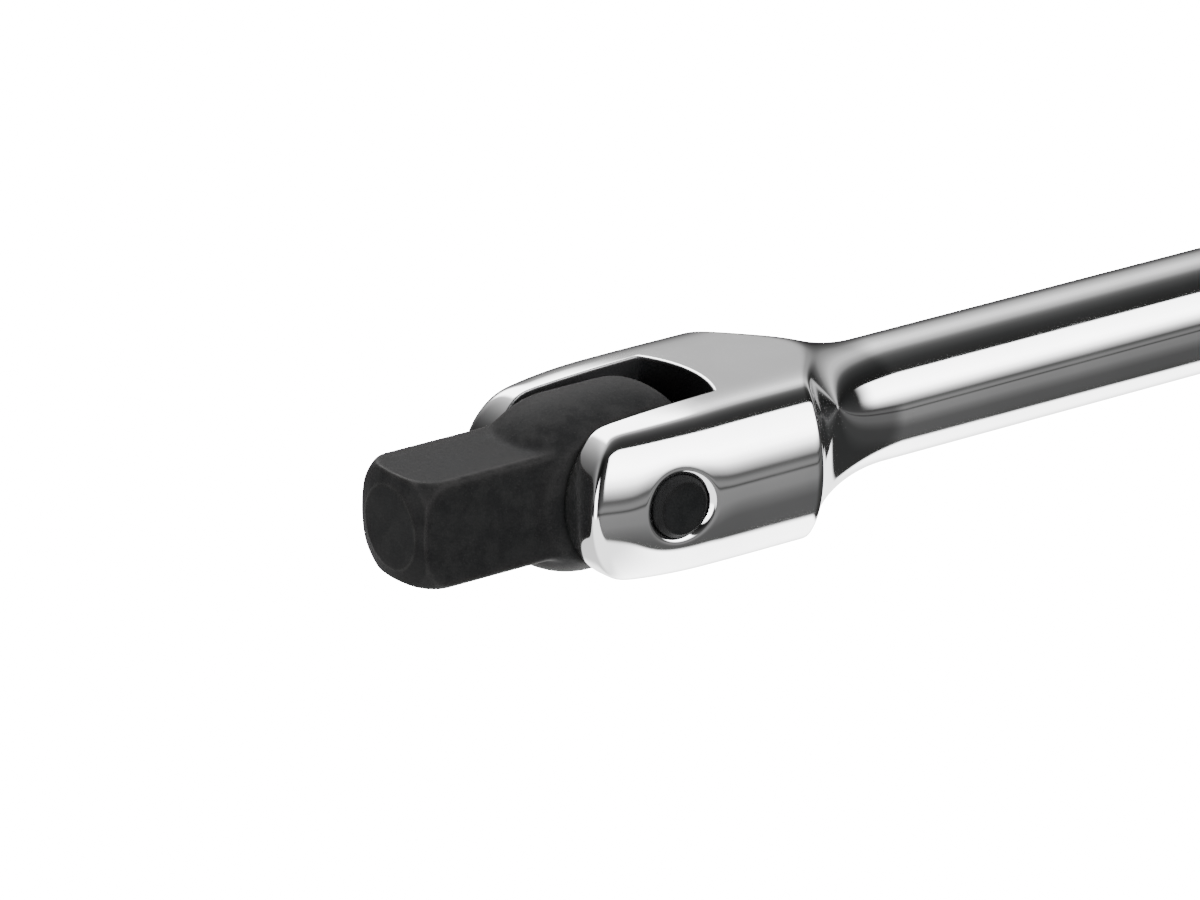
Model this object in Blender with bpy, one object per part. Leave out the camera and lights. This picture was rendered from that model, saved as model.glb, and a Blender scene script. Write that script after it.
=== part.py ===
"""Flex-head breaker bar with a 3/4 inch drive square, in metres, +Z up.

A forged handle ends in a fork. The drive head turns on a pin through the fork, and a sprung
ball at the root of the slot rubs on the head's round knuckle, so that the head stays where it
is put. A second sprung ball in the square holds the socket on.

The origin is the centre of the square's end face. +X runs along the handle and the pin lies
along Y.
"""
import math

import bmesh
import bpy
from mathutils import Matrix, Vector

MM = 0.001

# Driving dimensions, in millimetres
SQUARE = 19.05            # across flats of the 3/4 inch drive
PIVOT_X = 43.9            # drive end to the pin's axis
LENGTH = 500.0            # drive end to handle end
FORK_HALF_WIDTH = 24.0    # where the walls are fullest
FORK_TOP = 14.2           # flats above and below the pin axis
FORK_BOTTOM = 15.0
FORK_REAR = 28.0          # pin axis to the edge where the neck starts
SLOT_WIDTH = 21.9
SHAFT_RADIUS = 11.05
PIN_RADIUS = 5.4
RUN_GAP = 0.05            # between pieces that slide or turn on each other
SEAT_GAP = 0.3            # between pieces that only lie side by side

# Fork
SIDE_ARC_RADIUS = 18.25   # bulging outer walls of the two tines
SIDE_ARC_BELOW = 0.3      # their fullest line, below the pin axis
TOP_EDGE_DROP = 0.8       # how far each flat is rolled over where it meets the walls
BOTTOM_EDGE_DROP = 0.5
ROLL_WIDTH = 4.4
CROWN_START = 20.0        # from here forward the flats fall away to the tine ends
CROWN_RADIUS = 364.0
TAPER_START = 8.0         # from here forward the walls close in towards the tine ends
TAPER_RADIUS = 63.0
TINE_REACH = 16.0         # the tine ends are round about the pin axis
SLOT_ROOT = 17.9          # pin axis to the slot's root, at its middle
SLOT_CORNER = 15.1        # and at its sides
PIN_RECESS = 0.9          # pin face below the tine's wall
COUNTERSINK = 1.3

# Neck and handle
NECK_RADIUS = 36.0
NECK_ANGLE = 46.0         # degrees of arc from the shaft to the shoulder
NECK_LENGTH = 28.3        # fork's rear edge to where the shaft is straight
GRIP_LENGTH = 120.0
GRIP_RADIUS = 11.9
END_LENGTH = 13.0
GROOVE_WIDTH = 2.4
GROOVE_DEPTH = 0.7
END_ROUND = 4.0

# Drive head
EDGE_ROUND = 1.2          # along the square's four long edges
NOSE_FACE_RADIUS = 6.8
NOSE_ROUND = 5.7          # turned round between the end face and the square's corners
KNUCKLE_RADIUS = 15.5     # turned about X
KNUCKLE_REACH = 16.2      # round back, about the pin
SHOULDER = ((-20.6, 9.2), (-19.2, 11.0), (-17.4, 12.5), (-14.8, 14.0), (-12.2, 14.95),
            (-9.0, 15.35), (-4.0, KNUCKLE_RADIUS))
CHEEK_HALF_WIDTH = SLOT_WIDTH / 2 - SEAT_GAP

# Balls and springs
SOCKET_BALL_RADIUS = 3.175
SOCKET_BALL_X = 10.5      # from the drive end
SOCKET_BALL_PROUD = 1.1
SOCKET_BORE_TOP = 3.6
STAKED_LIP = 0.55
STAKED_RADIUS = 2.98
SOCKET_WIRE = 0.35        # half of the wire's thickness
FRICTION_BALL_RADIUS = 3.97
FRICTION_TRAVEL = 0.7
FRICTION_BORE_LENGTH = 17.5
FRICTION_WIRE = 0.45

SIDES = 64

CHROME = ("chrome", (0.80, 0.80, 0.81), 0.06, 1.0)
BLACK_OXIDE = ("black_oxide", (0.035, 0.034, 0.036), 0.55, 0.6)
PIN_BLACK = ("pin_black", (0.022, 0.022, 0.024), 0.40, 0.6)
BALL_STEEL = ("ball_steel", (0.60, 0.60, 0.61), 0.15, 1.0)
SPRING_STEEL = ("spring_steel", (0.42, 0.42, 0.44), 0.30, 1.0)


def clear_scene():
    for item in list(bpy.data.objects):
        bpy.data.objects.remove(item)


def material(spec):
    name, colour, roughness, metallic = spec
    made = bpy.data.materials.get(name)
    if made is None:
        made = bpy.data.materials.new(name)
        made.use_nodes = True
        shader = made.node_tree.nodes["Principled BSDF"]
        shader.inputs["Base Color"].default_value = (*colour, 1.0)
        shader.inputs["Roughness"].default_value = roughness
        shader.inputs["Metallic"].default_value = metallic
        made.diffuse_color = (*colour, 1.0)
    return made


def link_mesh(name, bm, origin=(0, 0, 0), spec=None):
    """Turn a bmesh in millimetres into an object whose own origin is at origin."""
    bmesh.ops.recalc_face_normals(bm, faces=bm.faces)
    bm.transform(Matrix.Scale(MM, 4) @ Matrix.Translation(-Vector(origin)))
    mesh = bpy.data.meshes.new(name)
    bm.to_mesh(mesh)
    bm.free()
    made = bpy.data.objects.new(name, mesh)
    made.location = Vector(origin) * MM
    bpy.context.scene.collection.objects.link(made)
    if spec:
        mesh.materials.append(material(spec))
    return made


def turned(profile, axis="X", sides=SIDES):
    """Spin (along, radius) points about an axis through the frame's origin."""
    bm = bmesh.new()
    along, out = {"X": (Vector((1, 0, 0)), Vector((0, 0, 1))),
                  "Y": (Vector((0, 1, 0)), Vector((0, 0, 1))),
                  "Z": (Vector((0, 0, 1)), Vector((1, 0, 0)))}[axis]
    points = [bm.verts.new(along * a + out * r) for a, r in profile]
    edges = [bm.edges.new(pair) for pair in zip(points, points[1:])]
    bmesh.ops.spin(bm, geom=points + edges, cent=(0, 0, 0), axis=along,
                   angle=math.tau, steps=sides, use_merge=True)
    bmesh.ops.remove_doubles(bm, verts=bm.verts, dist=1e-5)
    return bm


def prism(outline, depth_vector):
    """Extrude a closed outline of 3-D points."""
    bm = bmesh.new()
    face = bm.faces.new([bm.verts.new(p) for p in outline])
    grown = bmesh.ops.extrude_face_region(bm, geom=[face])
    moved = [v for v in grown["geom"] if isinstance(v, bmesh.types.BMVert)]
    bmesh.ops.translate(bm, verts=moved, vec=depth_vector)
    return bm


def shifted(bm, vector):
    bmesh.ops.translate(bm, verts=bm.verts, vec=vector)
    return bm


def cutter(name, bm):
    made = link_mesh(name, bm)
    made.hide_render = True
    made.display_type = "WIRE"
    return made


def boolean(target, tool, operation):
    step = target.modifiers.new(tool.name, "BOOLEAN")
    step.object = tool
    step.operation = operation
    step.solver = "EXACT"


def arc(centre, radius, start, stop, steps):
    """Points on an arc, angles in degrees."""
    angles = [math.radians(start + (stop - start) * i / steps) for i in range(steps + 1)]
    return [(centre[0] + radius * math.cos(a), centre[1] + radius * math.sin(a)) for a in angles]


def smooth(made, angle=30.0):
    made.data.shade_smooth()
    made.data.set_sharp_from_angle(angle=math.radians(angle))
    return made


def handle_profile():
    """Half outline of the turned blank, from the tine ends to the handle's end, about X."""
    neck_end = FORK_REAR + NECK_LENGTH
    neck = [(neck_end - NECK_RADIUS * math.sin(math.radians(a)),
             SHAFT_RADIUS + NECK_RADIUS * (1 - math.cos(math.radians(a))))
            for a in [NECK_ANGLE * (1 - i / 12) for i in range(13)]]
    blank = FORK_HALF_WIDTH + 0.6
    rear_edge = [(FORK_REAR - 0.4, blank), (FORK_REAR + 0.3, FORK_HALF_WIDTH + 0.05),
                 (FORK_REAR + 0.9, FORK_HALF_WIDTH - 0.5)]
    end = LENGTH - PIVOT_X
    grip_end = end - END_LENGTH
    grip_start = grip_end - GRIP_LENGTH
    return [(-30, 0), (-30, blank), *rear_edge, *neck,
            (grip_start - 8, SHAFT_RADIUS),
            (grip_start - 5, GRIP_RADIUS), (grip_start - GROOVE_WIDTH, GRIP_RADIUS),
            (grip_start - GROOVE_WIDTH, GRIP_RADIUS - GROOVE_DEPTH),
            (grip_start, GRIP_RADIUS - GROOVE_DEPTH), (grip_start, GRIP_RADIUS),
            (grip_end, GRIP_RADIUS), (grip_end, GRIP_RADIUS - GROOVE_DEPTH),
            (grip_end + GROOVE_WIDTH, GRIP_RADIUS - GROOVE_DEPTH),
            (grip_end + GROOVE_WIDTH, GRIP_RADIUS),
            *arc((end - END_ROUND, GRIP_RADIUS - END_ROUND), END_ROUND, 90, 0, 6), (end, 0)]


def fork_section(x):
    """Outline across the fork in YZ at x: two flats, rolled edges and bulging walls."""
    crown = max(0.0, CROWN_START - x) ** 2 / (2 * CROWN_RADIUS)
    taper = max(0.0, TAPER_START - x) ** 2 / (2 * TAPER_RADIUS)
    wall_centre = FORK_HALF_WIDTH - SIDE_ARC_RADIUS - taper
    outline = []
    for side, height, drop in ((1, FORK_TOP, TOP_EDGE_DROP), (-1, FORK_BOTTOM, BOTTOM_EDGE_DROP)):
        flat = height - crown
        middle = -side * SIDE_ARC_BELOW
        roll_radius = (ROLL_WIDTH ** 2 + drop ** 2) / (2 * drop)
        roll_sweep = math.degrees(math.asin(ROLL_WIDTH / roll_radius))
        edge_angle = math.degrees(math.asin((flat - drop - middle) / SIDE_ARC_RADIUS))
        edge_y = wall_centre + SIDE_ARC_RADIUS * math.cos(math.radians(edge_angle))
        quarter = arc((wall_centre, middle), SIDE_ARC_RADIUS, 0, edge_angle, 8)
        quarter += arc((edge_y - ROLL_WIDTH, flat - roll_radius), roll_radius,
                       90 - roll_sweep, 90, 4)[1:]
        half = quarter + [(-y, z) for y, z in reversed(quarter)]
        outline += [(side * y, side * z) for y, z in half[:-1]]
    return outline


def fork_blank():
    """The fork's outside, lofted through sections along X."""
    stations = [-24 + 4 * i for i in range(12)] + [LENGTH]
    bm = bmesh.new()
    rings = [[bm.verts.new((x, y, z)) for y, z in fork_section(x)] for x in stations]
    for ring, following in zip(rings, rings[1:]):
        for i in range(len(ring)):
            j = (i + 1) % len(ring)
            bm.faces.new((ring[i], ring[j], following[j], following[i]))
    bm.faces.new(rings[0])
    bm.faces.new(rings[-1])
    return bm


def slot_plan():
    """Outline of the slot in XY, with a shallow arc at its root."""
    half = SLOT_WIDTH / 2
    bulge = SLOT_ROOT - SLOT_CORNER
    radius = (half ** 2 + bulge ** 2) / (2 * bulge)
    sweep = math.degrees(math.asin(half / radius))
    return [(-40, -half), *arc((SLOT_ROOT - radius, 0), radius, -sweep, sweep, 12), (-40, half)]


def make_handle():
    """Fork, neck and bar: one forging."""
    handle = link_mesh("handle", turned(handle_profile()), spec=CHROME)
    blank = cutter("fork_blank", fork_blank())
    slot = cutter("slot_tool", prism([(x, y, -30) for x, y in slot_plan()], (0, 0, 60)))
    drum = cutter("tine_end_drum", turned([(-30, 0), (-30, TINE_REACH), (30, TINE_REACH),
                                           (30, 0)], "Y"))
    front = cutter("tine_end_tool", prism([(-35, -26, -20), (-0.01, -26, -20),
                                           (-0.01, 26, -20), (-35, 26, -20)], (0, 0, 40)))
    boolean(front, drum, "DIFFERENCE")
    bore = PIN_RADIUS + RUN_GAP
    wide = bore + COUNTERSINK
    mouth = FORK_HALF_WIDTH - PIN_RECESS
    pin_bore = cutter("pin_bore_tool", turned(
        [(-30, 0), (-30, wide + 30 - FORK_HALF_WIDTH), (-FORK_HALF_WIDTH, wide), (-mouth, bore),
         (mouth, bore), (FORK_HALF_WIDTH, wide), (30, wide + 30 - FORK_HALF_WIDTH), (30, 0)], "Y"))
    ball_bore_radius = FRICTION_BALL_RADIUS + RUN_GAP
    ball_bore_end = SLOT_ROOT + FRICTION_BORE_LENGTH
    ball_bore = cutter("friction_bore_tool", turned(
        [(0, 0), (0, ball_bore_radius), (ball_bore_end, ball_bore_radius),
         (ball_bore_end + 2, 0)], sides=32))
    boolean(handle, blank, "INTERSECT")
    boolean(handle, slot, "DIFFERENCE")
    boolean(handle, front, "DIFFERENCE")
    boolean(handle, pin_bore, "DIFFERENCE")
    boolean(handle, ball_bore, "DIFFERENCE")
    return smooth(handle)


def nose_profile():
    """Half outline about X of the square's turned end."""
    nose = -PIVOT_X
    start = 176.0
    centre = (nose - NOSE_ROUND * math.cos(math.radians(start)),
              NOSE_FACE_RADIUS - NOSE_ROUND * math.sin(math.radians(start)))
    return [(nose, 0), *arc(centre, NOSE_ROUND, start, 90, 8), (centre[0] + 3, SQUARE),
            (-8, SQUARE), (-8, 0)]


def knuckle_profile():
    back = math.degrees(math.asin(KNUCKLE_RADIUS / KNUCKLE_REACH))
    return [(SHOULDER[0][0], 0), *SHOULDER,
            *arc((0, 0), KNUCKLE_REACH, back, 0, 10)[:-1], (KNUCKLE_REACH, 0)]


def square_bar():
    """The square shank, with its four long edges rounded, reaching into the knuckle."""
    half = SQUARE / 2
    inner = half - EDGE_ROUND
    outline = []
    for turn, (y, z) in enumerate(((inner, inner), (-inner, inner), (-inner, -inner),
                                   (inner, -inner))):
        outline += arc((y, z), EDGE_ROUND, 90 * turn, 90 * turn + 90, 4)
    return prism([(-PIVOT_X - 2, y, z) for y, z in outline], (PIVOT_X - 10, 0, 0))


def make_drive_head():
    """Square and knuckle: one forging, black."""
    head = link_mesh("drive_head", square_bar(), spec=BLACK_OXIDE)
    nose = cutter("nose_blank", turned(nose_profile()))
    knuckle = cutter("knuckle_blank", turned(knuckle_profile()))
    cheeks = cutter("cheek_blank", prism(
        [(-60, -CHEEK_HALF_WIDTH, -20), (20, -CHEEK_HALF_WIDTH, -20),
         (20, CHEEK_HALF_WIDTH, -20), (-60, CHEEK_HALF_WIDTH, -20)], (0, 0, 40)))
    eye = cutter("eye_tool", turned([(-15, 0), (-15, PIN_RADIUS + RUN_GAP),
                                     (15, PIN_RADIUS + RUN_GAP), (15, 0)], "Y"))
    bore_radius = SOCKET_BALL_RADIUS + RUN_GAP
    face = -SQUARE / 2
    ball_bore = cutter("socket_ball_bore_tool", shifted(turned(
        [(SOCKET_BORE_TOP + 1.2, 0), (SOCKET_BORE_TOP, bore_radius),
         (face + STAKED_LIP, bore_radius), (face + STAKED_LIP, STAKED_RADIUS),
         (face - 3, STAKED_RADIUS), (face - 3, 0)], "Z", 32), (SOCKET_BALL_X - PIVOT_X, 0, 0)))
    boolean(head, nose, "INTERSECT")
    boolean(head, knuckle, "UNION")
    boolean(head, cheeks, "INTERSECT")
    boolean(head, eye, "DIFFERENCE")
    boolean(head, ball_bore, "DIFFERENCE")
    return smooth(head)


def make_pin():
    """Hinge pin, pressed into the two tines."""
    half = FORK_HALF_WIDTH - PIN_RECESS
    chamfer = 0.8
    return smooth(link_mesh("pivot_pin", turned(
        [(-half, 0), (-half, PIN_RADIUS - chamfer), (-half + chamfer, PIN_RADIUS),
         (half - chamfer, PIN_RADIUS), (half, PIN_RADIUS - chamfer), (half, 0)], "Y"),
        spec=PIN_BLACK))


def make_ball(name, radius, centre):
    bm = turned([(x, abs(y)) for x, y in arc((0, 0), radius, 180, 0, 16)], "X", 24)
    return smooth(link_mesh(name, shifted(bm, centre), centre, BALL_STEEL), 60)


def make_spring(name, start, stop, radius, wire, turns):
    """Coil of round wire between two points on one axis, with closed end turns."""
    axis = (Vector(stop) - Vector(start)).normalized()
    side = Vector((0, 1, 0))
    other = axis.cross(side)
    length = (Vector(stop) - Vector(start)).length - 2 * wire
    per_turn = 14
    count = turns * per_turn
    closed = 1
    gap = 2.15 * wire
    open_rise = (length - 2 * gap * closed) / (turns - 2 * closed)
    curve = bpy.data.curves.new(name, "CURVE")
    curve.dimensions = "3D"
    curve.bevel_depth = wire * MM
    curve.bevel_resolution = 2
    curve.use_fill_caps = True
    line = curve.splines.new("POLY")
    line.points.add(count)
    for i in range(count + 1):
        turn = i / per_turn
        if turn < closed:
            height = gap * turn
        elif turn > turns - closed:
            height = length - gap * (turns - turn)
        else:
            height = gap * closed + open_rise * (turn - closed)
        angle = math.tau * turn
        point = (Vector(start) + axis * (height + wire)
                 + side * (radius * math.cos(angle)) + other * (radius * math.sin(angle)))
        line.points[i].co = (*(point * MM), 1.0)
    curve.materials.append(material(SPRING_STEEL))
    made = bpy.data.objects.new(name, curve)
    bpy.context.scene.collection.objects.link(made)
    return made


def make_balls_and_springs():
    socket_z = -SQUARE / 2 - SOCKET_BALL_PROUD + SOCKET_BALL_RADIUS
    socket_x = SOCKET_BALL_X - PIVOT_X
    pieces = [make_ball("socket_ball", SOCKET_BALL_RADIUS, (socket_x, 0, socket_z)),
              make_spring("socket_ball_spring", (socket_x, 0, SOCKET_BORE_TOP - 0.2),
                          (socket_x, 0, socket_z + SOCKET_BALL_RADIUS + 0.15),
                          SOCKET_BALL_RADIUS - 2 * SOCKET_WIRE, SOCKET_WIRE, 6)]
    friction_x = KNUCKLE_REACH + 0.05 + FRICTION_BALL_RADIUS
    spring_start = friction_x + FRICTION_BALL_RADIUS + FRICTION_TRAVEL + 0.1
    pieces += [make_ball("friction_ball", FRICTION_BALL_RADIUS, (friction_x, 0, 0)),
               make_spring("friction_spring", (spring_start, 0, 0),
                           (SLOT_ROOT + FRICTION_BORE_LENGTH - 0.2, 0, 0),
                           FRICTION_BALL_RADIUS - 2 * FRICTION_WIRE, FRICTION_WIRE, 7)]
    return pieces


def main():
    clear_scene()
    frame = bpy.data.objects.new("pivot_frame", None)
    bpy.context.scene.collection.objects.link(frame)
    make_handle()
    make_drive_head()
    make_pin()
    make_balls_and_springs()
    for item in bpy.data.objects:
        if item is not frame:
            item.parent = frame
    frame.location = (PIVOT_X * MM, 0, 0)


main()
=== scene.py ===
"""Looks of the hinged breaker bar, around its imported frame.

The polished fork and the black drive head are smooth solids given as signed distances in
millimetres about the hinge pin. They are meshed on a grid, drawn onto the exact surface and
shaded with the exact normals, so that the chrome reflects cleanly. The bar and its knurled
grip are turned.
"""
import math

import bpy
import numpy as np
from mathutils import Matrix, Vector


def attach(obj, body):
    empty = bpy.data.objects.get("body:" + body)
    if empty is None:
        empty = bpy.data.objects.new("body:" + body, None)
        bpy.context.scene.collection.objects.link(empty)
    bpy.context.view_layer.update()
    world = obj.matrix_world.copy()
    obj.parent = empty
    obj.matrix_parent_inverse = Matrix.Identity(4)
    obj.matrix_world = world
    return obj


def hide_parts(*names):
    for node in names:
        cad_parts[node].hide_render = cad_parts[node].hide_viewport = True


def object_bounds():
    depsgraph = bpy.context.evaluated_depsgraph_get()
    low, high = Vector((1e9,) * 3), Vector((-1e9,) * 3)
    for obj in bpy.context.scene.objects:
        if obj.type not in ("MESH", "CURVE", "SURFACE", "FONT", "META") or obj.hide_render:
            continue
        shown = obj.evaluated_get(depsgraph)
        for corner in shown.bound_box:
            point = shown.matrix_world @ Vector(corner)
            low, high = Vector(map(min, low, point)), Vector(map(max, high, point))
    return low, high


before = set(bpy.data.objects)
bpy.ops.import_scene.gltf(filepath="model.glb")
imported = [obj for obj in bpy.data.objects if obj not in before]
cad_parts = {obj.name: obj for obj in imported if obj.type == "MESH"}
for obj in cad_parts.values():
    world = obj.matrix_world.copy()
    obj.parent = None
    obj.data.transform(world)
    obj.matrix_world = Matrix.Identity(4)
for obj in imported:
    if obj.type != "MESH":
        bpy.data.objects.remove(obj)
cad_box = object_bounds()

MM = 0.001
NEARLY_STRAIGHT = 1.5     # a corner whose half angle is over this, in radians, is left
TINY = 1e-9               # keeps a length from being divided by nothing

# Sizes in millimetres, about the pin's axis. X runs along the handle, Y along the pin.
PIVOT_X = 43.9
LENGTH = 500.0
HALF_SQUARE = 9.525

FORK_HALF_WIDTH = 24.0
FORK_TOP = 14.2
FORK_BOTTOM = 15.0
SIDE_ARC_RADIUS = 18.25
SIDE_ARC_BELOW = 0.3
CROWN_START = 20.0
CROWN_RADIUS = 364.0
TAPER_START = 8.0
TAPER_RADIUS = 63.0
TINE_REACH = 16.0
SLOT_HALF = 10.95
SLOT_ROOT = 17.9
SLOT_ROOT_RADIUS = 22.8
NECK_END = 56.3
NECK_RADIUS = 36.0
SHAFT_RADIUS = 11.05
BORE_RADIUS = 5.47
PIN_RECESS = 0.9
FRICTION_BORE = 4.02
FRICTION_BORE_END = 35.4
SPLIT = 58.0              # the turned bar begins here, over the end of the modelled fork
OVERLAP = 2.0
SINK = 0.08               # how far the fork's end lies below the bar that covers it

# How wide the fork's edges are rounded
TOP_ROUND = 3.5
BOTTOM_ROUND = 3.0
TINE_ROUND = 1.8
NECK_ROUND = 1.2
HOLE_ROUND = 1.2
SLOT_ROOT_ROUND = 0.8
SLOT_EDGE = 0.7

TINE_FALL = 0.06          # how fast the rounding of the tines' ends falls away behind the pin
HOLE_FLARE = 0.85         # how far the hole widens for each millimetre outside the pin's face
DIP_DEPTH = 0.30          # hollow that buffing leaves in the wall round the hole
DIP_RADIUS = 5.0
DIP_SPREAD = 3.0
DIP_START = 12.0          # the hollow grows between these distances from the middle,
DIP_FULL = 18.0           # so that it leaves the slot's walls flat

# The collars beside the grip, measured along the bar from the grip's ends
COLLAR_LENGTH = 2.4
COLLAR_RISE = 5.0
COLLAR_FOOT = 8.0
COLLAR_STEP = 0.2
COLLAR_FILLET = 0.35
GRIP_LENGTH = 120.0
GRIP_RADIUS = 11.9
GRIP_CORE = 0.7           # how far the bar inside the knurled sleeve lies below it
END_LENGTH = 13.0
END_ROUND = 4.0

NOSE_CENTRE_X = -38.0
NOSE_CENTRE_R = 7.15
NOSE_ROUND = 5.95
NOSE_FACE = -43.88
NOSE_RING = 7.4           # edge of the flat end face, where a shallow cone starts
NOSE_CONE = math.radians(19)
SQUARE_END = -4.0         # the square stops here, inside the knuckle
SHOULDER_X = -8.0
SHOULDER_RADIUS = 15.75
KNUCKLE_RADIUS = 15.5
KNUCKLE_REACH = 16.2
CHEEK = 10.65
EYE_RADIUS = 5.45
BALL_X = 10.5 - PIVOT_X
BALL_RADIUS = 3.175
BALL_Z = -7.45
BALL_MOUTH = 2.98         # the ball's bore is narrower at its mouth, which keeps the ball in
BALL_MOUTH_STEP = 0.24
BALL_LIP_LOW = -9.1       # the narrow lip ends between these heights
BALL_LIP_HIGH = -8.8
BALL_BORE_TOP = 3.6
STAKE_RADIUS = 4.05       # groove punched round the mouth
STAKE_DEPTH = 0.28

# How wide the head's edges are rounded
SQUARE_EDGE = 1.5
SQUARE_END_EDGE = 0.5
NOSE_EDGE = 0.7
CONE_EDGE = 0.2
FACE_EDGE = 0.08
SHOULDER_FILLET = 1.6
KNUCKLE_EDGE = 0.8
CHEEK_EDGE = 0.9
EYE_EDGE = 0.4
BALL_BORE_EDGE = 0.25
STAKE_EDGE = 0.1

PALE = 20.0               # level of the plain background and floor that the camera sees


# ---------------------------------------------------------------- distance fields

def smooth_max(a, b, width):
    """The larger of two fields, with the edge between them rounded over width."""
    share = np.maximum(width - np.abs(a - b), 0) / width
    return np.maximum(a, b) + share ** 3 * width / 6


def smooth_min(a, b, width):
    """The smaller of two fields, with the corner between them filled over width."""
    return -smooth_max(-a, -b, width)


def ramp(value, start, stop):
    """From 0 at start to 1 at stop, with soft ends."""
    t = np.clip((value - start) / (stop - start), 0, 1)
    return t * t * (3 - 2 * t)


def slot_field(x, y):
    """The slot between the tines, open towards the head and rounded at its root."""
    root = np.hypot(np.maximum(x - SLOT_ROOT + SLOT_ROOT_RADIUS, 0), y) - SLOT_ROOT_RADIUS
    return smooth_max(np.abs(y) - SLOT_HALF, root, SLOT_ROOT_ROUND)


def fork_field(x, y, z):
    """Fork and neck, up to the split."""
    side = np.abs(y)
    crown = np.maximum(CROWN_START - x, 0) ** 2 / (2 * CROWN_RADIUS)
    taper = np.maximum(TAPER_START - x, 0) ** 2 / (2 * TAPER_RADIUS)
    wall_centre = FORK_HALF_WIDTH - SIDE_ARC_RADIUS - taper
    wall = np.hypot(np.maximum(side - wall_centre, 0), z + SIDE_ARC_BELOW) - SIDE_ARC_RADIUS
    from_pin = np.hypot(x, z)
    near_hole = np.exp(-((from_pin - DIP_RADIUS) / DIP_SPREAD) ** 2)
    wall = wall + DIP_DEPTH * near_hole * ramp(side, DIP_START, DIP_FULL)
    body = smooth_max(wall, z - FORK_TOP + crown, TOP_ROUND)
    body = smooth_max(body, -z - FORK_BOTTOM + crown, BOTTOM_ROUND)
    out = np.hypot(y, z)
    neck = np.where(
        x < NECK_END,
        NECK_RADIUS - np.hypot(x - NECK_END, out - SHAFT_RADIUS - NECK_RADIUS),
        out - SHAFT_RADIUS + SINK * ramp(x, SPLIT + 0.1, SPLIT + 0.9))
    body = smooth_max(body, neck, NECK_ROUND)
    ends = np.hypot(np.minimum(x, 0), z) - TINE_REACH - TINE_FALL * np.maximum(x, 0) ** 2
    body = smooth_max(body, ends, TINE_ROUND)
    body = smooth_max(body, -slot_field(x, y), SLOT_EDGE)
    hole = from_pin - BORE_RADIUS - HOLE_FLARE * np.maximum(wall + PIN_RECESS, 0)
    body = smooth_max(body, -hole, HOLE_ROUND)
    body = np.maximum(body, -np.maximum(out - FRICTION_BORE, x - FRICTION_BORE_END))
    return np.maximum(body, x - SPLIT - OVERLAP)


def head_field(x, y, z):
    """Drive square with its turned nose, and the round knuckle with its milled cheeks."""
    side = np.abs(y)
    out = np.hypot(y, z)
    square = smooth_max(side - HALF_SQUARE, np.abs(z) - HALF_SQUARE, SQUARE_EDGE)
    square = smooth_max(square, x - SQUARE_END, SQUARE_END_EDGE)
    turned = np.where(out > NOSE_CENTRE_R,
                      np.hypot(np.minimum(x - NOSE_CENTRE_X, 0), out - NOSE_CENTRE_R) - NOSE_ROUND,
                      NOSE_CENTRE_X - NOSE_ROUND - x)
    square = smooth_max(square, turned, NOSE_EDGE)
    cone = (NOSE_FACE - x) * math.cos(NOSE_CONE) + (out - NOSE_RING) * math.sin(NOSE_CONE)
    square = smooth_max(smooth_max(square, cone, CONE_EDGE), NOSE_FACE - x, FACE_EDGE)
    knuckle = np.where(
        x < SHOULDER_X,
        np.hypot(x - SHOULDER_X, out + SHOULDER_RADIUS - KNUCKLE_RADIUS) - SHOULDER_RADIUS,
        out - KNUCKLE_RADIUS)
    back = np.hypot(np.maximum(x, 0), out) - KNUCKLE_REACH
    knuckle = smooth_max(knuckle, back, KNUCKLE_EDGE)
    head = smooth_min(square, knuckle, SHOULDER_FILLET)
    head = smooth_max(head, side - CHEEK, CHEEK_EDGE)
    head = smooth_max(head, EYE_RADIUS - np.hypot(x, z), EYE_EDGE)
    from_ball = np.hypot(x - BALL_X, y)
    bore_radius = BALL_MOUTH + BALL_MOUTH_STEP * ramp(z, BALL_LIP_LOW, BALL_LIP_HIGH)
    ball_bore = np.maximum(from_ball - bore_radius, z - BALL_BORE_TOP)
    head = smooth_max(head, -ball_bore, BALL_BORE_EDGE)
    stake = STAKE_DEPTH - np.hypot(from_ball - STAKE_RADIUS, z + HALF_SQUARE)
    return smooth_max(head, stake, STAKE_EDGE)


def head_wear_and_highlight(p):
    """Where the black is lighter: the sharp edges, as wear that also stands in for their
    highlights, and a painted highlight ring at the rim of the end face.
    """
    spread, depth, strength = 0.2, 0.38, 0.9
    # painted highlight: a thin light ring where the end face meets its shallow cone
    from_rim = np.hypot(p[:, 1], p[:, 2]) - NOSE_RING
    rim_highlight = np.exp(-(from_rim / spread) ** 2) * (p[:, 0] < NOSE_FACE + depth)
    return np.maximum(sharpness(head_field, p), strength * rim_highlight)


# ---------------------------------------------------------------- meshing

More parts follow.
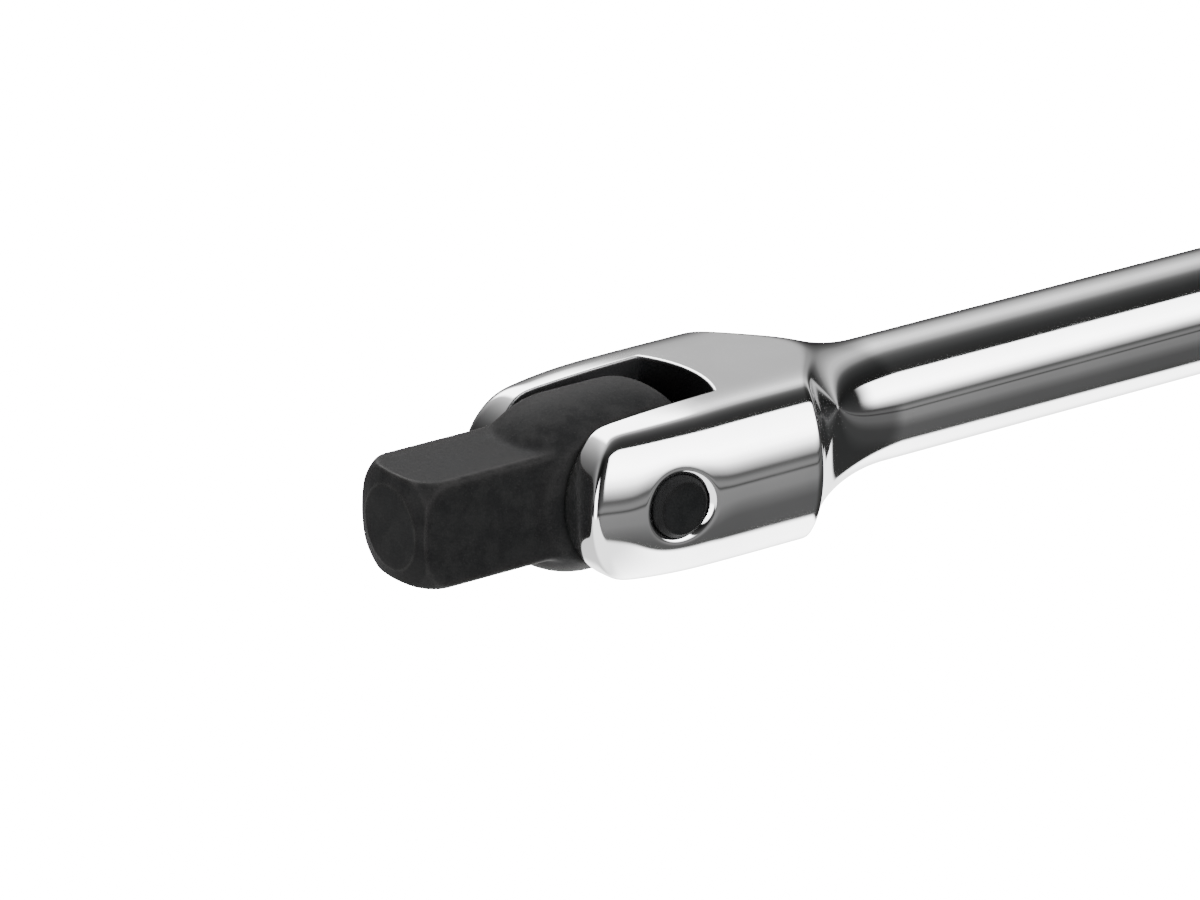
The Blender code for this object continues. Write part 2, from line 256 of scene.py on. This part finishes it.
def net_of(field, low, high, step):
    """Corner points and quads of a field's zero surface, one point to each crossed cell."""
    lines = [np.arange(a, b + step, step) for a, b in zip(low, high)]
    x, y, z = lines[0][:, None, None], lines[1][None, :, None], lines[2][None, None, :]
    values = field(x, y, z)
    cells = np.array(values.shape) - 1
    owners, places, quads = [], [], []
    for axis in range(3):
        first = [slice(None)] * 3
        second = [slice(None)] * 3
        first[axis], second[axis] = slice(0, -1), slice(1, None)
        a, b = values[tuple(first)], values[tuple(second)]
        crossed = np.argwhere((a < 0) != (b < 0))
        start = a[tuple(crossed.T)]
        share = start / (start - b[tuple(crossed.T)])
        place = np.stack([lines[i][crossed[:, i]] for i in range(3)], 1)
        place[:, axis] += share * step
        u, v = (axis + 1) % 3, (axis + 2) % 3
        corners = []
        for du, dv in ((1, 1), (0, 1), (0, 0), (1, 0)):
            cell = crossed.copy()
            cell[:, u] -= du
            cell[:, v] -= dv
            corners.append((cell[:, 0] * cells[1] + cell[:, 1]) * cells[2] + cell[:, 2])
        ring = np.stack(corners, 1)
        ring[start > 0] = ring[start > 0][:, ::-1]
        quads.append(ring)
        owners += corners
        places += [place] * 4
    owners, places, quads = np.concatenate(owners), np.concatenate(places), np.concatenate(quads)
    used, position = np.unique(owners, return_inverse=True)
    count = np.bincount(position)
    points = np.stack([np.bincount(position, places[:, i]) / count for i in range(3)], 1)
    return points, np.searchsorted(used, quads)


def slope(field, p, reach=0.02):
    """The field's gradient at each point."""
    parts = []
    for axis in range(3):
        step = np.zeros(3)
        step[axis] = reach
        parts.append((field(*(p + step).T) - field(*(p - step).T)) / (2 * reach))
    return np.stack(parts, 1)


def onto(field, p, rounds=3, longest=0.2):
    """Draw points onto the field's zero surface, in steps no longer than longest."""
    for _ in range(rounds):
        g = slope(field, p)
        shift = (field(*p.T) / np.maximum((g ** 2).sum(1), 0.05))[:, None] * g
        length = np.linalg.norm(shift, axis=1, keepdims=True)
        p = p - shift * np.minimum(1, longest / np.maximum(length, TINY))
    return p


def evened(field, p, quads, rounds=2, share=0.6):
    """Slide points along the surface towards the middle of their neighbours."""
    ends = np.concatenate([quads[:, [0, 1]], quads[:, [1, 2]], quads[:, [2, 3]], quads[:, [3, 0]]])
    count = np.bincount(ends[:, 0], minlength=len(p)) + np.bincount(ends[:, 1], minlength=len(p))
    for _ in range(rounds):
        middle = np.stack([(np.bincount(ends[:, 0], p[ends[:, 1], i], len(p))
                            + np.bincount(ends[:, 1], p[ends[:, 0], i], len(p))) / count
                           for i in range(3)], 1)
        g = slope(field, p)
        g /= np.maximum(np.linalg.norm(g, axis=1, keepdims=True), TINY)
        move = middle - p
        move -= (move * g).sum(1)[:, None] * g
        p = onto(field, p + share * move, 2)
    return p


def sharpness(field, p, reach=0.45, strength=0.7):
    """How convex the surface is, from 0 on flats to 1 on edges."""
    total = -6 * field(*p.T)
    for axis in range(3):
        step = np.zeros(3)
        step[axis] = reach
        total += field(*(p + step).T) + field(*(p - step).T)
    return np.clip(total / reach ** 2 * strength, 0, 1)


def mesh_object(name, points, faces):
    mesh = bpy.data.meshes.new(name)
    mesh.from_pydata(points, [], faces)
    made = bpy.data.objects.new(name, mesh)
    bpy.context.scene.collection.objects.link(made)
    return made


def thinned(made, ratio):
    """Give the object its own mesh with the flattest faces merged."""
    step = made.modifiers.new("thin", "DECIMATE")
    step.ratio = ratio
    ready = bpy.data.meshes.new_from_object(
        made.evaluated_get(bpy.context.evaluated_depsgraph_get()))
    made.modifiers.clear()
    made.data = ready


def solid(name, field, low, high, step, keep, marks):
    """A piece whose surface is a field's zero surface, in metres and in the row frame.

    Each mark names a point attribute that its finish reads, and the function that gives it.
    """
    points, quads = net_of(field, low, high, step)
    points = evened(field, onto(field, points), quads)
    made = mesh_object(name, points.tolist(), quads.tolist())
    thinned(made, keep)
    mesh = made.data
    flat = np.empty(len(mesh.vertices) * 3)
    mesh.vertices.foreach_get("co", flat)
    points = onto(field, flat.reshape(-1, 3).astype(np.float64), 2)
    normals = slope(field, points)
    normals /= np.maximum(np.linalg.norm(normals, axis=1, keepdims=True), TINY)
    for mark, value in marks.items():
        mesh.attributes.new(mark, "FLOAT", "POINT").data.foreach_set("value", value(points))
    mesh.vertices.foreach_set("co", ((points + (PIVOT_X, 0, 0)) * MM).ravel())
    mesh.shade_smooth()
    mesh.normals_split_custom_set_from_vertices(normals.tolist())
    mesh.update()
    return made


def filleted(outline, radius, steps=4):
    """The outline with each inner corner replaced by a short curve."""
    made = [outline[0]]
    for before, corner, after in zip(outline, outline[1:], outline[2:]):
        p, c, q = Vector(before), Vector(corner), Vector(after)
        one, two = (p - c).normalized(), (q - c).normalized()
        half = one.angle(two) / 2
        if half > NEARLY_STRAIGHT:
            made.append(corner)
            continue
        back = min(radius / math.tan(half), (p - c).length * 0.45, (q - c).length * 0.45)
        start, stop = c + one * back, c + two * back
        for i in range(steps + 1):
            t = i / steps
            point = (1 - t) ** 2 * start + 2 * t * (1 - t) * c + t * t * stop
            made.append((point.x, point.y))
    return made + [outline[-1]]


def lathe(name, outline, sides=128):
    """Turn (x, radius) points about X. The outline starts and ends on the axis."""
    inner = np.array(outline[1:-1])
    angle = np.arange(sides) * math.tau / sides
    rings = np.stack([np.repeat(inner[:, 0][:, None], sides, 1),
                      inner[:, 1][:, None] * np.cos(angle), inner[:, 1][:, None] * np.sin(angle)],
                     2).reshape(-1, 3)
    points = np.concatenate([rings, [[outline[0][0], 0, 0], [outline[-1][0], 0, 0]]])
    faces = []
    for i in range(len(inner) - 1):
        for j in range(sides):
            k = (j + 1) % sides
            faces.append((i * sides + j, i * sides + k, (i + 1) * sides + k, (i + 1) * sides + j))
    first, last, end = len(rings), len(rings) + 1, (len(inner) - 1) * sides
    for j in range(sides):
        k = (j + 1) % sides
        faces.append((first, k, j))
        faces.append((last, end + j, end + k))
    made = mesh_object(name, ((points + (PIVOT_X, 0, 0)) * MM).tolist(), faces)
    made.data.shade_smooth()
    made.data.set_sharp_from_angle(angle=math.radians(35))
    return made


def knurled(name, start, stop, radius, depth=0.42, around=44, cells=5, wall=1.5):
    """A diamond-knurled sleeve about X, closed on its inner side.

    A diamond is one pitch long and wide, with a flat top, and the outermost ones fade out.
    """
    flat_top = 0.8
    fade_length = 0.4
    darkest = 0.8
    pitch = math.tau * radius / around
    rows = int(round((stop - start) / pitch))
    columns = around * cells
    steps = rows * cells
    along = np.linspace(start, stop, steps + 1)
    turn = np.arange(columns) / cells
    u = turn[None, :] + (along[:, None] - start) / pitch
    v = turn[None, :] - (along[:, None] - start) / pitch
    ridge = np.minimum(1 - np.abs(2 * (u % 1) - 1), 1 - np.abs(2 * (v % 1) - 1))
    height = np.minimum(ridge, flat_top) / flat_top
    from_end = np.minimum(along - start, stop - along)
    height = height * np.minimum(1, from_end / (fade_length * pitch))[:, None]
    out = radius - depth * (1 - height)
    angle = turn / around * math.tau
    outer = np.stack([np.repeat(along[:, None], columns, 1),
                      out * np.cos(angle), out * np.sin(angle)], 2).reshape(-1, 3)
    core = radius - wall
    ends = [np.stack([np.full(columns, x), core * np.cos(angle), core * np.sin(angle)], 1)
            for x in (start, stop)]
    points = np.concatenate([outer, *ends])
    j = np.arange(columns)
    k = (j + 1) % columns
    faces = []
    for i in range(steps):
        faces.append(np.stack([i * columns + j, i * columns + k,
                               (i + 1) * columns + k, (i + 1) * columns + j], 1))
    head, tail = len(outer), len(outer) + columns
    last = steps * columns
    faces.append(np.stack([head + j, head + k, k, j], 1))
    faces.append(np.stack([last + j, last + k, tail + k, tail + j], 1))
    faces.append(np.stack([tail + j, tail + k, head + k, head + j], 1))
    made = mesh_object(name, ((points + (PIVOT_X, 0, 0)) * MM).tolist(),
                       np.concatenate(faces).tolist())
    # painted shade and dullness: the lower a point lies between the diamonds, the darker and
    # rougher the chrome there
    groove_shade = np.zeros(len(points))
    groove_shade[:len(outer)] = darkest * (1 - height).ravel()
    made.data.attributes.new("painted_shade_and_dull", "FLOAT", "POINT").data.foreach_set("value", groove_shade)
    made.data.shade_smooth()
    made.data.set_sharp_from_angle(angle=math.radians(24))
    return made


# ---------------------------------------------------------------- node helpers

class Tree:
    """Short names for the shader nodes that the finishes and the studio are made of."""

    def __init__(self, owner):
        owner.use_nodes = True
        self.nodes = owner.node_tree.nodes
        self.links = owner.node_tree.links
        self.nodes.clear()

    def node(self, kind, **values):
        made = self.nodes.new(kind)
        for key, value in values.items():
            setattr(made, key, value)
        return made

    def feed(self, socket, value):
        if isinstance(value, bpy.types.NodeSocket):
            self.links.new(value, socket)
        else:
            socket.default_value = value

    def math(self, operation, *values):
        made = self.node("ShaderNodeMath", operation=operation)
        for socket, value in zip(made.inputs, values):
            self.feed(socket, value)
        return made.outputs[0]

    def span(self, value, low, high, to_low=0.0, to_high=1.0):
        """Map low..high to to_low..to_high, with soft ends and held beyond them."""
        made = self.node("ShaderNodeMapRange", interpolation_type="SMOOTHSTEP")
        for socket, v in zip(made.inputs, (value, low, high, to_low, to_high)):
            self.feed(socket, v)
        return made.outputs[0]

    def mix(self, share, a, b):
        made = self.node("ShaderNodeMix", data_type="FLOAT")
        for socket, v in zip(made.inputs[:1] + made.inputs[2:4], (share, a, b)):
            self.feed(socket, v)
        return made.outputs[0]

    def colour(self, share, a, b):
        made = self.node("ShaderNodeMix", data_type="RGBA")
        self.feed(made.inputs[0], share)
        for socket, v in ((made.inputs[6], a), (made.inputs[7], b)):
            self.feed(socket, v if isinstance(v, bpy.types.NodeSocket) else (*v, 1.0))
        return made.outputs[2]

    def noise(self, vector, scale, detail=3.0, roughness=0.5):
        made = self.node("ShaderNodeTexNoise")
        self.feed(made.inputs["Vector"], vector)
        made.inputs["Scale"].default_value = scale
        made.inputs["Detail"].default_value = detail
        made.inputs["Roughness"].default_value = roughness
        return made.outputs[0]

    def place(self, scale=(1, 1, 1)):
        made = self.node("ShaderNodeMapping")
        made.inputs["Scale"].default_value = scale
        self.feed(made.inputs["Vector"], self.node("ShaderNodeTexCoord").outputs["Object"])
        return made.outputs[0]

    def bump(self, height, distance, strength=1.0):
        made = self.node("ShaderNodeBump")
        made.inputs["Strength"].default_value = strength
        made.inputs["Distance"].default_value = distance
        self.feed(made.inputs["Height"], height)
        return made.outputs[0]

    def surface(self, **inputs):
        shader = self.node("ShaderNodeBsdfPrincipled")
        for key, value in inputs.items():
            socket = shader.inputs[key.replace("_", " ")]
            if isinstance(value, tuple):
                value = (*value, 1.0)
            self.feed(socket, value)
        self.feed(self.node("ShaderNodeOutputMaterial").inputs["Surface"], shader.outputs[0])


def finish(name, build):
    made = bpy.data.materials.new(name)
    build(Tree(made))
    return made


# ---------------------------------------------------------------- finishes

def chrome(t):
    """Mirror polish with the faint waves and rubbing marks that buffing leaves.

    The slot's walls and the grooves between the knurls get painted shade, a near black base
    colour, and a duller finish.
    """
    waves = t.noise(t.place(), 110.0, 1.5, 0.4)
    rubbed = t.noise(t.place((0.25, 1.0, 1.0)), 1900.0, 2.0)
    cloud = t.noise(t.place(), 60.0, 3.0)
    rough = t.math("ADD", t.span(cloud, 0.3, 0.7, 0.045, 0.075),
                   t.span(rubbed, 0.55, 0.8, 0.0, 0.02))
    tone = t.colour(t.span(cloud, 0.35, 0.7), (0.70, 0.70, 0.705), (0.74, 0.74, 0.745))
    shade_and_dull = t.node("ShaderNodeAttribute", attribute_name="painted_shade_and_dull").outputs["Fac"]
    # painted shade: the slot's walls and the knurls' grooves take a near black colour, and a
    # rougher finish
    tone = t.colour(shade_and_dull, tone, (0.045, 0.045, 0.047))
    rough = t.mix(shade_and_dull, rough, 0.45)
    t.surface(Base_Color=tone, Metallic=1.0, Roughness=rough, Normal=t.bump(waves, 0.000012))


def black_oxide(t):
    """Matte black oxide over machined steel: mottled, a little lighter on worn edges, partly as
    painted highlight, and on a painted highlight ring at the rim of the end face.
    """
    blotch = t.noise(t.place(), 230.0, 5.0, 0.62)
    grain = t.noise(t.place(), 2600.0, 3.0, 0.6)
    lines = t.noise(t.place((6.0, 0.8, 0.8)), 420.0, 2.0)
    edge = t.node("ShaderNodeAttribute", attribute_name="wear_and_highlight").outputs["Fac"]
    wear_and_sheen = t.math("MULTIPLY", edge, t.span(blotch, 0.25, 0.65, 0.25, 1.0))
    tone = t.colour(t.span(blotch, 0.36, 0.64), (0.013, 0.0127, 0.0132), (0.024, 0.0235, 0.0238))
    tone = t.colour(t.span(grain, 0.58, 0.75, 0.0, 0.6), tone, (0.036, 0.035, 0.035))
    # lighter on worn edges, partly painted highlight, and on the painted highlight ring at the end
    # face's rim
    tone = t.colour(t.math("MULTIPLY", wear_and_sheen, 0.6), tone, (0.046, 0.045, 0.045))
    rough = t.mix(wear_and_sheen, t.span(blotch, 0.3, 0.7, 0.60, 0.74), 0.48)
    height = t.math("ADD", t.math("MULTIPLY", grain, 0.6), t.math("MULTIPLY", lines, 0.8))
    t.surface(Base_Color=tone, Metallic=0.0, Roughness=rough, Specular_IOR_Level=0.06,
              Normal=t.bump(height, 0.00003, 0.6))


def pin_black(t):
    """Ground and blackened pin face."""
    blotch = t.noise(t.place(), 380.0, 4.0, 0.55)
    grain = t.noise(t.place(), 3000.0, 2.0)
    tone = t.colour(t.span(blotch, 0.3, 0.7), (0.0105, 0.0105, 0.0110), (0.017, 0.017, 0.0175))
    t.surface(Base_Color=tone, Metallic=0.0, Roughness=t.span(blotch, 0.3, 0.7, 0.5, 0.6),
              Specular_IOR_Level=0.06, Normal=t.bump(grain, 0.00002, 0.4))


def ball_steel(t):
    """Polished hardened ball, with a light rubbed haze."""
    haze = t.noise(t.place(), 900.0, 3.0)
    t.surface(Base_Color=t.colour(haze, (0.55, 0.55, 0.56), (0.66, 0.66, 0.67)), Metallic=1.0,
              Roughness=t.span(haze, 0.3, 0.7, 0.10, 0.20))


def spring_steel(t):
    """Oiled spring wire with drawing marks."""
    drawn = t.noise(t.place(), 1600.0, 3.0)
    t.surface(Base_Color=t.colour(drawn, (0.34, 0.33, 0.32), (0.47, 0.46, 0.45)), Metallic=1.0,
              Roughness=t.span(drawn, 0.3, 0.7, 0.25, 0.4))


# ---------------------------------------------------------------- the object

def dress(node, made):
    """Give a CAD node its finish."""
    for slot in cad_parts[node].material_slots:
        slot.material = made


def put(piece, made, body, node):
    """Give a detailed piece its finish, and its place in the frame."""
    piece.data.materials.append(made)
    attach(piece, body)
    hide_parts(node)


def arc(x, radius, size, turns):
    """Outline points on an arc, each turn in degrees from straight out towards +X."""
    return [(x + size * math.sin(math.radians(a)), radius + size * math.cos(math.radians(a)))
            for a in turns]


def bar_outline():
    """The bar's outline for turning, and where its grip starts and ends."""
    end = LENGTH - PIVOT_X
    grip_end = end - END_LENGTH
    grip_start = grip_end - GRIP_LENGTH
    core = GRIP_RADIUS - GRIP_CORE
    inner = COLLAR_LENGTH - COLLAR_STEP
    corners = [(grip_start - COLLAR_FOOT, SHAFT_RADIUS),
               (grip_start - COLLAR_RISE, GRIP_RADIUS), (grip_start - COLLAR_LENGTH, GRIP_RADIUS),
               (grip_start - inner, core),
               (grip_end + inner, core), (grip_end + COLLAR_LENGTH, GRIP_RADIUS)]
    dome = arc(end - END_ROUND, GRIP_RADIUS - END_ROUND, END_ROUND, range(0, 91, 9))
    shaft = filleted([(SPLIT, SHAFT_RADIUS)] + corners + dome[:1], COLLAR_FILLET)[:-1]
    return [(SPLIT, 0)] + shaft + dome + [(end, 0)], grip_start, grip_end


def in_slot(p):
    """Mask of painted shade and dullness: 1 on the slot's own walls, and 0 on the rest of the
    fork.
    """
    return 1 - ramp(slot_field(p[:, 0], p[:, 1]), 0.02, 0.3)


def build_object():
    """The detailed pieces, and finishes for the CAD nodes that stay."""
    polished = finish("chrome_polish", chrome)
    black = finish("black_oxide_finish", black_oxide)
    room = 0.9
    half_width = FORK_HALF_WIDTH + room
    fork = solid("fork_and_neck", fork_field,
                 low=(-TINE_REACH - room, -half_width, -FORK_BOTTOM - room),
                 high=(SPLIT + OVERLAP + 0.5, half_width, FORK_TOP + room),
                 step=0.3, keep=0.55, marks={"painted_shade_and_dull": in_slot})
    put(fork, polished, "handle", "handle")
    outline, grip_start, grip_end = bar_outline()
    put(lathe("shaft_and_end", outline), polished, "handle", "handle")
    put(knurled("grip_knurl", grip_start - 0.6, grip_end + 0.6, GRIP_RADIUS - 0.02), polished,
        "handle", "handle")
    head = solid("head_forging", head_field, low=(-44.4, -11.2, -16.0), high=(16.8, 11.2, 16.0),
                 step=0.25, keep=0.5, marks={"wear_and_highlight": head_wear_and_highlight})
    put(head, black, "drive_head", "drive_head")
    dress("pivot_pin", finish("pin_finish", pin_black))
    ball = finish("ball_finish", ball_steel)
    wire = finish("wire_finish", spring_steel)
    dress("friction_ball", ball)
    retaining = lathe("retaining_ball", arc(BALL_X, 0, BALL_RADIUS, range(-90, 91, 5)), sides=72)
    retaining.data.transform(Matrix.Translation((0, 0, BALL_Z * MM)))
    put(retaining, ball, "socket_ball", "socket_ball")
    for node in ("socket_ball_spring", "friction_spring"):
        dress(node, wire)


# ---------------------------------------------------------------- studio

def studio_light():
    """Surrounding light: bands that run along the bar, as long softboxes and flags give.

    A direction is given by its turn about X, in degrees from +Y up over the top towards -Y,
    and by its x.
    """
    world = bpy.data.worlds.new("studio")
    bpy.context.scene.world = world
    t = Tree(world)
    split = t.node("ShaderNodeSeparateXYZ")
    t.feed(split.inputs[0], t.node("ShaderNodeTexCoord").outputs["Generated"])
    x, y, z = split.outputs
    turn = t.math("FRACT", t.math("DIVIDE", t.math("ARCTAN2", z, y), math.tau))

    def band(low, high, soft):
        """1 between two angles of the turn, in degrees, with soft ends."""
        return t.math("MULTIPLY", t.span(turn, (low - soft) / 360, (low + soft) / 360),
                      t.span(turn, (high - soft) / 360, (high + soft) / 360, 1.0, 0.0))

    def reach(low, high, soft_low, soft_high):
        """1 between two values of x, with soft ends."""
        return t.math("MULTIPLY", t.span(x, low - soft_low, low + soft_low),
                      t.span(x, high - soft_high, high + soft_high, 1.0, 0.0))

    def levels(*stops):
        """Light levels round the turn, from (degrees, level) pairs.

        The node holds a level as its power of two, from -5 to 5, brought to 0..1.
        """
        half_range, full_range = 5.0, 10.0
        gradient = t.node("ShaderNodeValToRGB")
        elements = gradient.color_ramp.elements
        while len(elements) < len(stops):
            elements.new(1.0)
        for element, (angle, level) in zip(elements, stops):
            element.position = angle / 360
            grey = (math.log2(level) + half_range) / full_range
            element.color = (grey, grey, grey, 1.0)
        t.feed(gradient.inputs[0], turn)
        power = t.math("SUBTRACT", t.math("MULTIPLY", gradient.outputs[0], full_range),
                       half_range)
        return t.math("POWER", 2.0, power)

    room = levels((0, 0.14), (5, 0.21), (13, 0.38), (21, 0.75), (37, 1.55), (45, 2.1), (54, 2.1),
                  (61, 1.45), (69, 0.86), (77, 0.27), (85, 0.14), (101, 0.063), (112, 0.046),
                  (121, 0.048), (178, 0.15), (181, 0.16), (186, 0.36), (189.5, 0.36),
                  (191.2, 0.10), (193.2, 0.38), (206, 0.34), (214, 0.24), (226, 0.15), (245, 0.14),
                  (270, 0.09), (335, 0.09), (352, 0.10))
    # dimmer towards the two ends
    right = t.span(x, 0.55, 0.70, 1.0, 0.50)
    left = t.span(x, -0.60, -0.12, 0.22, 1.0)
    level = t.math("MULTIPLY", room, t.math("MULTIPLY", right, left))
    # bright middle of the back wall
    level = t.mix(t.math("MULTIPLY", reach(-0.14, 0.515, 0.10, 0.022), band(24, 60, 5)),
                  level, 9.0)
    # front softbox, whose lower edge fades
    box = levels((120, 8.5), (150, 11.0), (158, 9.0), (166, 4.2), (172, 1.5), (177, 0.6),
                 (180, 0.2))
    level = t.mix(t.math("MULTIPLY", reach(-0.12, 0.87, 0.05, 0.07), band(122, 180, 1.3)),
                  level, box)
    # left softbox
    level = t.mix(t.math("MULTIPLY", reach(-0.97, -0.68, 0.03, 0.05), band(128, 236, 8)),
                  level, 8.0)
    # pale floor, up to a slanting edge in front of the object, greyer far behind
    down = t.math("MAXIMUM", t.math("MULTIPLY", z, -1.0), 0.02)
    across, along = t.math("DIVIDE", y, down), t.math("DIVIDE", x, down)
    edge = t.math("MINIMUM", t.math("SUBTRACT", t.math("MULTIPLY", along, 1.37), 1.22), 0.95)
    lit = t.math("MULTIPLY", t.span(t.math("SUBTRACT", across, edge), -0.09, 0.09),
                 t.span(z, -0.30, -0.20, 1.0, 0.0))
    sheet = t.math("MULTIPLY", t.span(across, 0.2, 1.0, 7.5, 3.6),
                   t.span(along, 0.1, 0.5, 0.4, 1.0))
    level = t.mix(lit, level, sheet)
    # what the matte parts gather: soft light from above and behind
    over = t.math("ADD", t.math("MULTIPLY", z, 0.86),
                  t.math("SUBTRACT", t.math("MULTIPLY", y, 0.46), t.math("MULTIPLY", x, 0.2)))
    soft = t.span(over, -0.2, 1.0, 0.26, 1.7)
    level = t.mix(t.node("ShaderNodeLightPath").outputs["Is Diffuse Ray"], level, soft)
    # plain and pale where the camera sees past the floor
    level = t.mix(t.node("ShaderNodeLightPath").outputs["Is Camera Ray"], level, PALE)
    shader = t.node("ShaderNodeBackground")
    t.feed(shader.inputs["Color"], level)
    t.feed(t.node("ShaderNodeOutputWorld").inputs["Surface"], shader.outputs[0])


def floor():
    """Plain pale floor, below the object and clear of it, which takes no shade."""
    half, drop = 40.0, 0.3
    height = cad_box[0].z - drop
    corners = [(sx * half, sy * half, height) for sx, sy in ((-1, -1), (1, -1), (1, 1), (-1, 1))]
    made = mesh_object("floor", corners, [(0, 1, 2, 3)])

    def pale(t):
        """One level from above, and clear from below."""
        glow = t.node("ShaderNodeEmission")
        glow.inputs["Color"].default_value = (1.0, 1.0, 1.0, 1.0)
        glow.inputs["Strength"].default_value = PALE
        clear = t.node("ShaderNodeBsdfTransparent")
        mixed = t.node("ShaderNodeMixShader")
        t.feed(mixed.inputs[0], t.node("ShaderNodeNewGeometry").outputs["Backfacing"])
        t.feed(mixed.inputs[1], glow.outputs[0])
        t.feed(mixed.inputs[2], clear.outputs[0])
        t.feed(t.node("ShaderNodeOutputMaterial").inputs["Surface"], mixed.outputs[0])

    made.data.materials.append(finish("floor_pale", pale))
    made.visible_glossy = False
    made.visible_diffuse = False
    made.visible_shadow = False


def softbox(name, place, size, power):
    """A lamp aimed at the hinge, which the camera and the reflections don't show."""
    light = bpy.data.lights.new(name, "AREA")
    light.shape = "RECTANGLE"
    light.size, light.size_y = size
    light.energy = power
    made = bpy.data.objects.new(name, light)
    target = Vector((PIVOT_X * MM, 0, 0))
    made.location = target + Vector(place)
    made.rotation_euler = (target - made.location).to_track_quat("-Z", "Y").to_euler()
    made.visible_camera = False
    made.visible_glossy = False
    bpy.context.scene.collection.objects.link(made)


def camera():
    """A long lens aimed at the hinge, from the side of the nose and a little above."""
    azimuth, rise, roll = (math.radians(a) for a in (-35.25, 20.55, -0.926))
    unit = 2 * HALF_SQUARE * MM
    aside, above, distance = -0.037 * unit, 0.178 * unit, 60 * unit
    back = Vector((math.sin(azimuth) * math.cos(rise), -math.cos(azimuth) * math.cos(rise),
                   math.sin(rise)))
    level = Vector((math.cos(azimuth), math.sin(azimuth), 0))
    upright = back.cross(level)
    right = level * math.cos(roll) + upright * math.sin(roll)
    up = upright * math.cos(roll) - level * math.sin(roll)
    hinge = Vector((PIVOT_X * MM, 0, 0))
    place = hinge + right * aside + up * above + back * distance
    lens = bpy.data.cameras.new("camera")
    lens.sensor_width = 36.0
    lens.lens = 201.88
    lens.clip_end = 200.0
    made = bpy.data.objects.new("camera", lens)
    turn = Matrix((right, up, back)).transposed().to_4x4()
    made.matrix_world = Matrix.Translation(place) @ turn
    bpy.context.scene.collection.objects.link(made)
    bpy.context.scene.camera = made


camera()
build_object()
studio_light()
floor()
softbox("overhead", (-0.2, 0.1, 1.0), (1.2, 1.2), 3.0)
